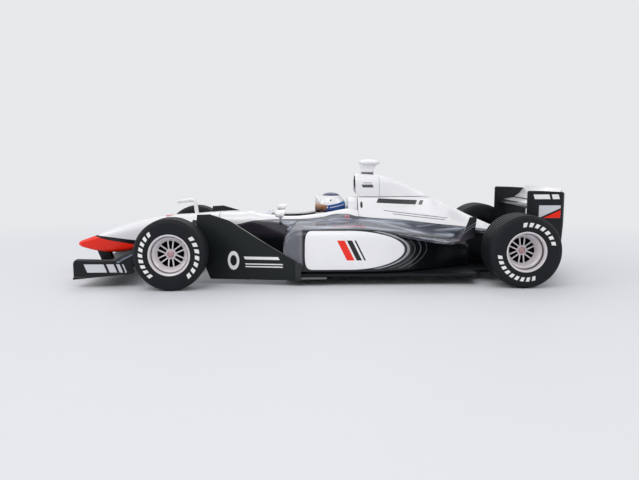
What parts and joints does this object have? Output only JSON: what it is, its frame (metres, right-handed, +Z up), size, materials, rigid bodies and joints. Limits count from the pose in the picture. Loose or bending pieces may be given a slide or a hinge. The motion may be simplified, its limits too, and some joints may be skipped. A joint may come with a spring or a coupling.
{
  "type": "scale model of an open wheel racing car",
  "caption": "Die-cast and plastic scale model of an open wheel single-seat racing car with front and rear wings, a driver figure and free-rolling wheels.",
  "frame": {"origin": "bottom centre of the whole model, on the surface the four wheels stand on", "axes": "+X forward along the car to the nose, +Y to the car's left, +Z up"},
  "size_m": [0.1086, 0.0418, 0.0263],
  "materials": {
    "white_paint": "gloss white",
    "silver_paint": "bright dark silver",
    "white_plastic": "gloss white",
    "black_plastic": "satin black",
    "clear_plastic": "smoked clear plastic",
    "helmet_paint": "gloss white and blue",
    "overall_plastic": "satin dark",
    "red_plastic": "gloss red",
    "axle_metal": "satin steel",
    "rim_silver": "bright silver",
    "tyre_rubber": "satin black rubber"
  },
  "bodies": {
    "chassis": {"airbox": "white_paint", "barge_boards": "black_plastic", "beam_wing": "black_plastic", "camera_pod": "white_plastic", "dashboard": "black_plastic", "diffuser": "black_plastic", "drive_shafts": "axle_metal", "driver_helmet": "helmet_paint", "driver_torso": "overall_plastic", "engine_cover": "white_paint", "flip_ups": "silver_paint", "floor_plate": "black_plastic", "front_endplates": "black_plastic", "front_flaps": "black_plastic", "front_suspension": "black_plastic", "front_upright_left": "axle_metal", "front_upright_right": "axle_metal", "front_wing": "black_plastic", "headrest": "white_paint", "mirrors": "white_plastic", "monocoque": "white_paint", "nose_cone": "white_paint", "nose_probe": "white_plastic", "plank": "black_plastic", "rain_light": "red_plastic", "rear_chassis": "black_plastic", "rear_endplates": "black_plastic", "rear_flap": "black_plastic", "rear_suspension": "black_plastic", "rear_upright_left": "axle_metal", "rear_upright_right": "axle_metal", "rear_wing": "white_plastic", "sidepod_left": "silver_paint", "sidepod_right": "silver_paint", "steering_wheel": "black_plastic", "windscreen": "clear_plastic", "wing_pylons": "black_plastic"},
    "front_left_wheel": {"front_tyre_left": "tyre_rubber", "front_rim_left": "rim_silver"},
    "front_right_wheel": {"front_tyre_right": "tyre_rubber", "front_rim_right": "rim_silver"},
    "rear_left_wheel": {"rear_tyre_left": "tyre_rubber", "rear_rim_left": "rim_silver"},
    "rear_right_wheel": {"rear_tyre_right": "tyre_rubber", "rear_rim_right": "rim_silver"}
  },
  "joints": [
    {"name": "front_left_spin", "type": "hinge", "parent": "chassis", "child": "front_left_wheel", "pos_m": [0.03015, 0.01793, 0.00727], "axis": [0, 1, 0], "continuous": true},
    {"name": "front_right_spin", "type": "hinge", "parent": "chassis", "child": "front_right_wheel", "pos_m": [0.03015, -0.01793, 0.00727], "axis": [0, 1, 0], "continuous": true},
    {"name": "rear_left_spin", "type": "hinge", "parent": "chassis", "child": "rear_left_wheel", "pos_m": [-0.04185, 0.01633, 0.00755], "axis": [0, 1, 0], "continuous": true},
    {"name": "rear_right_spin", "type": "hinge", "parent": "chassis", "child": "rear_right_wheel", "pos_m": [-0.04185, -0.01633, 0.00755], "axis": [0, 1, 0], "continuous": true}
  ]
}
